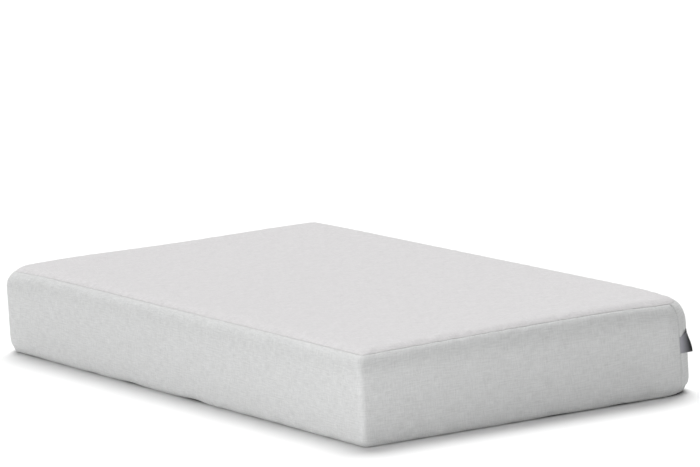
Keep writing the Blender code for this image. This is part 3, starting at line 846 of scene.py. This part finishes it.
def stacked_rings(loops, sides):
    """Faces of many small closed forms, each made of loops of sides points, and closed at both ends."""
    around = np.arange(sides)
    after = (around + 1) % sides
    wall = np.stack([around, around + sides, after + sides, after], -1)
    walls = [face for k in range(loops - 1) for face in (wall + k * sides).tolist()]
    return walls + [around.tolist(), ((loops - 1) * sides + around[::-1]).tolist()]


def make_grip_dots(low):
    """Small rubber dots in offset rows under the base."""
    pitch, radius, drop, border, sides = 0.024, 0.0021, 0.0006, 0.05, 6
    places = []
    for row, y in enumerate(np.arange(-LENGTH / 2 + border, LENGTH / 2 - border, pitch * 0.866)):
        for x in np.arange(-WIDTH / 2 + border + (row % 2) * pitch / 2, WIDTH / 2 - border, pitch):
            places.append((x, y))
    places = np.array(places)
    angle = np.arange(sides) * 2 * math.pi / sides
    circle = np.stack([np.cos(angle), np.sin(angle)], -1)
    points = []
    for share, z in ((1.0, low + 0.0002), (0.92, low - 0.6 * drop), (0.5, low - drop)):
        edge = places[:, None] + radius * share * circle[None]
        points.append(np.concatenate([edge, np.full((*edge.shape[:2], 1), z)], -1))
    form = stacked_rings(3, sides)
    faces = [[i * 3 * sides + corner for corner in face] for i in range(len(places)) for face in form]
    dots = piece("base_grip_dots", np.stack(points, 1), faces, LOOKS["dots"], None, 50)
    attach(dots, "mattress")


# ---- foam and sock

def capped(name, loops, look, spacing, settled=True):
    """A closed block from loops, lowest first, with a filled flat cap at each end."""
    count = len(loops[0])
    side = np.stack(loops, 1)
    rows = side.shape[1]
    low_cap, low_faces = filled(loops[0][:, :2], spacing)
    high_cap, high_faces = filled(loops[-1][:, :2], spacing)
    low_fill = raised(low_cap[count:], loops[0][:, 2].mean())
    high_fill = raised(high_cap[count:], loops[-1][:, 2].mean())
    points = np.concatenate([side.reshape(-1, 3), low_fill, high_fill])
    faces = grid_faces(count, rows, closed=True)
    base = count * rows
    for face in low_faces:
        faces.append(tuple(i * rows if i < count else base + i - count for i in reversed(face)))
    base += len(low_fill)
    for face in high_faces:
        faces.append(tuple(i * rows + rows - 1 if i < count else base + i - count for i in face))
    if settled:
        points = settle(points)
    return piece(name, points, faces, look, points[:, :2], 50)


FOAM_DEPTH = 0.0054
FOAM_TOP_DEPTH = 0.0070
SOCK_DEPTH = 0.0043
SOCK_TOP_DEPTH = 0.0055
SOFT_COLUMNS = 468


def inner_profile(side_depth, top_depth):
    """The cover's section moved inside it, as (inset, z) from the lowest wall point to the crown."""
    v = np.linspace(0.006, SEAM_V + 0.036, 120)
    x, z, inwards, upwards = section(v)
    depth = side_depth + (top_depth - side_depth) * smooth(v, SEAM_V - 0.004, SEAM_V + 0.03)
    depth = depth + 0.0040 * bump(v - CUFF_V, 0.020)
    return x - inwards * depth, z - upwards * depth


def make_foam():
    u = evenly(SOFT_COLUMNS)
    across, up = inner_profile(FOAM_DEPTH, FOAM_TOP_DEPTH)
    soften = 0.0025
    layers = [
        ("support_foam", "support_foam_core", "core"),
        ("transition_foam", "transition_foam_layer", "transition"),
        ("memory_foam", "memory_foam_layer", "memory"),
    ]
    for name, node, look in layers:
        low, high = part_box(node)[0].z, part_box(node)[1].z
        if name != "memory_foam":
            walls = np.linspace(low + soften, high - soften, 8)
            insets = np.interp(walls, up, across)
            loops = [(insets[-1] + soften, high), (insets[-1] + 0.3 * soften, high - 0.3 * soften)][::-1]
        else:
            keep = (up > low + soften) & (across < 0.056)
            picked = np.linspace(0, keep.sum() - 1, 16).astype(int)
            walls, insets = up[keep][picked], across[keep][picked]
            loops = []
        first = [(insets[0] + soften, low), (insets[0] + 0.3 * soften, low + 0.3 * soften)]
        rows = first + list(zip(insets, walls)) + loops
        rings = [level_ring(u, inset, z) for inset, z in rows]
        block = capped(name, rings, LOOKS[look], 0.035)
        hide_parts(node)
        if name == "support_foam":
            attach(block, "mattress")
        elif name == "memory_foam":
            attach(block, "comfort_top")
        else:
            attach(block, "mattress")
            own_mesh(block)


def make_sock():
    """Thin knit pulled over the foam, with a hem underneath."""
    u = evenly(SOFT_COLUMNS)
    bottom, hem = 0.0034, 0.120
    layers = []
    for inside in (0, 0.0007):
        z = bottom + inside
        across, up = inner_profile(SOCK_DEPTH + inside, SOCK_TOP_DEPTH + inside)
        keep = up > z + 0.002
        across, up = across[keep], up[keep]
        picked = np.linspace(0, len(up) - 1, 26).astype(int)
        insets = np.concatenate([np.linspace(hem, across[0] + 0.003, 6), across[picked]])
        heights = np.concatenate([np.full(6, z), up[picked]])
        rings = [level_ring(u, inset, height) for inset, height in zip(insets, heights)]
        cap, triangles = filled(rings[-1][:, :2], 0.045)
        layers.append((np.stack(rings, 1), raised(cap[len(u):], heights[-1]), triangles))
    count, rows = layers[0][0].shape[:2]
    second = count * rows + len(layers[0][1])
    points, faces = [], []
    for inner, (side, fill, triangles) in enumerate(layers):
        points += [side.reshape(-1, 3), fill]
        base, end = inner * second, inner * second + count * rows
        found = grid_faces(count, rows, base, closed=True)
        for face in triangles:
            found.append(tuple(base + i * rows + rows - 1 if i < count else end + i - count for i in face))
        faces += [tuple(reversed(face)) for face in found] if inner else found
    for i in range(count):
        a, b = i * rows, (i + 1) % count * rows
        faces.append((a, a + second, b + second, b))
    points = settle(np.concatenate(points))
    sock = piece("inner_sock_knit", points, faces, LOOKS["sock"], points[:, :2] + points[:, 2:3])
    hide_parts("inner_sock")
    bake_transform(sock)


# ---- labels

def make_tab():
    """A folded satin ribbon sewn into the seam; its upper half leans back more than its lower."""
    half, ply = 0.0009, 0.00032
    arc = np.radians(np.linspace(-90, 90, 7))
    leg = np.linspace(0, TAB_LENGTH - half, 14)
    section_x = np.concatenate([leg, TAB_LENGTH - half + half * np.cos(arc)[1:-1], leg[::-1]])
    section_y = np.concatenate([0 * leg - half, half * np.sin(arc)[1:-1], 0 * leg + half])
    dx, dy = np.gradient(section_x), np.gradient(section_y)
    size = np.hypot(dx, dy)
    t = np.linspace(0, 1, 22)
    feet = cover(TAB_U, height_to_v(TAB_LOW + TAB_SEWN * t), -0.0003)
    base_heading = math.radians(TAB_SEAM_ANGLE + 90) + TAB_TURN
    layers = []
    for offset in (0, ply):
        x = section_x - dy / size * offset
        y = section_y + dx / size * offset
        share = np.clip(x / TAB_LENGTH, 0, 1)
        heading = base_heading + TAB_LEAN * np.outer(smooth(t, 0.05, 1.0), share ** 1.8)
        sway = 0.0014 * np.outer(t - 0.4, np.sin(math.pi * share))
        px = x[None] * np.cos(heading) - (y[None] + sway) * np.sin(heading)
        py = x[None] * np.sin(heading) + (y[None] + sway) * np.cos(heading)
        pz = TAB_LOW + t[:, None] * (TAB_SEWN + TAB_FLARE * share[None] ** 1.2) - 0.001 * share[None]
        layers.append(np.stack([feet[:, :1] + px, feet[:, 1:2] + py, pz], -1))
    faces = sheet_faces(*layers[0].shape[:2], flip=True)
    along = np.concatenate([[0], np.cumsum(size[:-1])])
    weave = np.stack(np.broadcast_arrays(along[None, :], t[:, None] * 0.05), -1).reshape(-1, 2)
    tab = piece("tab_label_ribbon", np.stack(layers), faces, LOOKS["tab"], np.concatenate([weave, weave]), 60)
    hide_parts("tab_label")
    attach(tab, "tab")


def make_care():
    """A blank white ribbon sewn in by one edge, its free edge curling off the cloth."""
    low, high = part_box("care_label")
    us = HEAD_RIGHT_U + np.linspace(0.0012, high.x - low.x, 14)
    vs = height_to_v(np.linspace(low.z, high.z, 18))

    def lying(u, v, depth=0.0):
        u, v = np.broadcast_arrays(u, v)
        free = smooth(u - HEAD_RIGHT_U, 0.004, high.x - low.x)
        droop = (v - vs[0]) / (vs[-1] - vs[0])
        out = 0.0009 + 0.0024 * free + 0.0016 * free * (1 - droop) ** 2 + 0.0004 * np.sin(9 * droop) * free
        return cover(u, v, depth - out, detail=False)

    care = closed_strip("care_label_ribbon", us, vs, 0.0003, LOOKS["care"], shape=lying)
    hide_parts("care_label")
    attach(care, "care_tag")


# ---- zip

def make_coil(node):
    """A real coil: one filament turned round and round, flattened to the coil's box."""
    low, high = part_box(node)
    pitch, wire, per_turn, sides = 0.0015, 0.00034, 10, 5
    turns = int((high.x - low.x - 2 * wire) / pitch)
    angle = np.arange(turns * per_turn + 1) * 2 * math.pi / per_turn
    middle, half = (low + high) / 2, (high - low) / 2
    x = low.x + wire + pitch * angle / (2 * math.pi)
    square = 0.82 + 0.18 * np.abs(np.cos(2 * angle))
    y = middle.y + (half.y - wire) * np.sin(angle) * square / 0.95
    path = np.stack([x, y, middle.z + (half.z - wire) * np.cos(angle)], -1)
    points, faces = swept(path, wire, sides, (1, 0, 0))
    coil = piece(node + "_turns", points, faces, LOOKS["coil"])
    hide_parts(node)
    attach(coil, "mattress")


def make_stitches():
    """Two rows of stitches that hold the tapes behind the border's edges."""
    pitch, half_length, radius = 0.0036, 0.0014, 0.00028
    us = np.arange(HEAD_RIGHT_U + 0.006, HEAD_LEFT_U - 0.006, pitch)
    angle = np.arange(5) * 2 * math.pi / 5
    rows = (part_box("border_head_lower")[1].z - 0.0024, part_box("border_head_upper")[0].z + 0.0024)
    profile_yz = np.stack([0 * angle, np.cos(angle), np.sin(angle)], -1)
    points = []
    for z in rows:
        for u in us:
            for share, size in ((-1, 0.35), (-0.6, 1), (0.6, 1), (1, 0.35)):
                centre = cover(u + share * half_length, height_to_v(z), -0.00012)
                points.append(centre + radius * size * profile_yz)
    points = np.concatenate(points)
    form = stacked_rings(4, 5)
    faces = [[first + corner for corner in face] for first in range(0, len(points), 20) for face in form]
    sewn = piece("zip_stitching", points, faces, LOOKS["thread"], points[:, [0, 2]])
    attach(sewn, "mattress")


def make_garage():
    """A fabric hood over the closed end of the zip."""
    low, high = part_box("zip_garage")
    ply = 0.0006

    def depths(x, z):
        share_z = np.abs(2 * (z - low.z) / (high.z - low.z) - 1)
        closed_end = smooth(x, high.x - 0.005, high.x)
        rise = (1 - smooth(share_z, 0.55, 0.95)) * (1 - 0.8 * closed_end)
        outer = low.y - 0.0001 + ply + (high.y - low.y - ply) * rise
        return outer, outer - ply

    hood = head_strip("zip_garage_cloth", "zip_garage", (14, 16), depths, LOOKS["border"], 60)
    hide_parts("zip_garage")
    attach(hood, "mattress")


TAPE_CELL = 0.004
METAL_NODES = ("zip_slider", "zip_pull_tab", "zip_top_stop_upper", "zip_top_stop_lower", "zip_bottom_stop")


def make_zip():
    for side in ("upper", "lower"):
        low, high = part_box("zip_tape_" + side)
        cells = int((high.x - low.x) / TAPE_CELL) + 1, int((high.z - low.z) / TAPE_CELL) + 1
        faces_y = lambda x, z: (0 * x + high.y, 0 * x + low.y)
        tape = head_strip("zip_tape_" + side + "_web", "zip_tape_" + side, cells, faces_y, LOOKS["tape"], 50)
        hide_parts("zip_tape_" + side)
        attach(tape, "mattress")
        make_coil("zip_coil_" + side)
    make_garage()
    make_stitches()
    for node in METAL_NODES:
        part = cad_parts[node]
        part.data.materials.clear()
        part.data.materials.append(LOOKS["metal"])


# ---- camera, floor and light

CAMERA_PLACE = Vector((-10.88898, -19.83655, 4.15603))
CAMERA_BACK = Vector((-0.475989, -0.863650, 0.165960))
CAMERA_ROLL = math.radians(-3.580)
LENS_MM = 470.1


def make_camera():
    back = CAMERA_BACK.normalized()
    level = Vector((0, 0, 1)).cross(back).normalized()
    upright = back.cross(level)
    right = math.cos(CAMERA_ROLL) * level + math.sin(CAMERA_ROLL) * upright
    up = math.cos(CAMERA_ROLL) * upright - math.sin(CAMERA_ROLL) * level
    lens = bpy.data.cameras.new("camera")
    lens.lens = LENS_MM
    lens.sensor_width = 36
    lens.clip_end = 200
    camera = linked("camera", lens)
    camera.matrix_world = Matrix.Translation(CAMERA_PLACE) @ Matrix((right, up, back)).transposed().to_4x4()
    scene.camera = camera


def lamp(name, kind, place, power):
    """A light at a place, aimed at the middle of the floor."""
    light = bpy.data.lights.new(name, kind)
    light.energy = power
    stand = linked(name, light)
    stand.location = place
    stand.rotation_mode = "QUATERNION"
    stand.rotation_quaternion = (-stand.location).to_track_quat("-Z", "Y")
    return light


def make_stage():
    ground = bpy.data.meshes.new("floor")
    corners = [(40 * x, 40 * y, FLOOR_Z) for x, y in ((-1, -1), (1, -1), (1, 1), (-1, 1))]
    ground.from_pydata(corners, [], [(0, 1, 2, 3)])
    net = Net("floor", 0.9, 0.1)
    faint = net.noise(net.place(), (2, 2, 2), 2.0, 1.0)
    net.colour((0.95, 0.95, 0.95), net.plus(0.995, net.times(faint, 0.01)))
    ground.materials.append(net.made)
    floor = linked("floor", ground)
    world = bpy.data.worlds.new("studio")
    world.use_nodes = True
    sky = world.node_tree.nodes["Background"]
    sky.inputs["Color"].default_value = (1, 1, 1, 1)
    sky.inputs["Strength"].default_value = 0.27
    scene.world = world
    lamp("overhead", "SUN", (0.270, 0.440, 0.857), 3.08).angle = math.radians(40)
    lamp("side", "SUN", (-0.977, 0.0, 0.213), 1.13).angle = math.radians(30)
    front = lamp("front", "AREA", (-1.5, -3.2, 0.4), 17)
    front.shape = "RECTANGLE"
    front.size, front.size_y = 1.2, 0.7
    scene.view_settings.view_transform = "Standard"


for make in (make_borders, make_top, make_bindings, make_base, make_foam, make_sock,
             make_tab, make_care, make_zip, make_camera, make_stage):
    make()
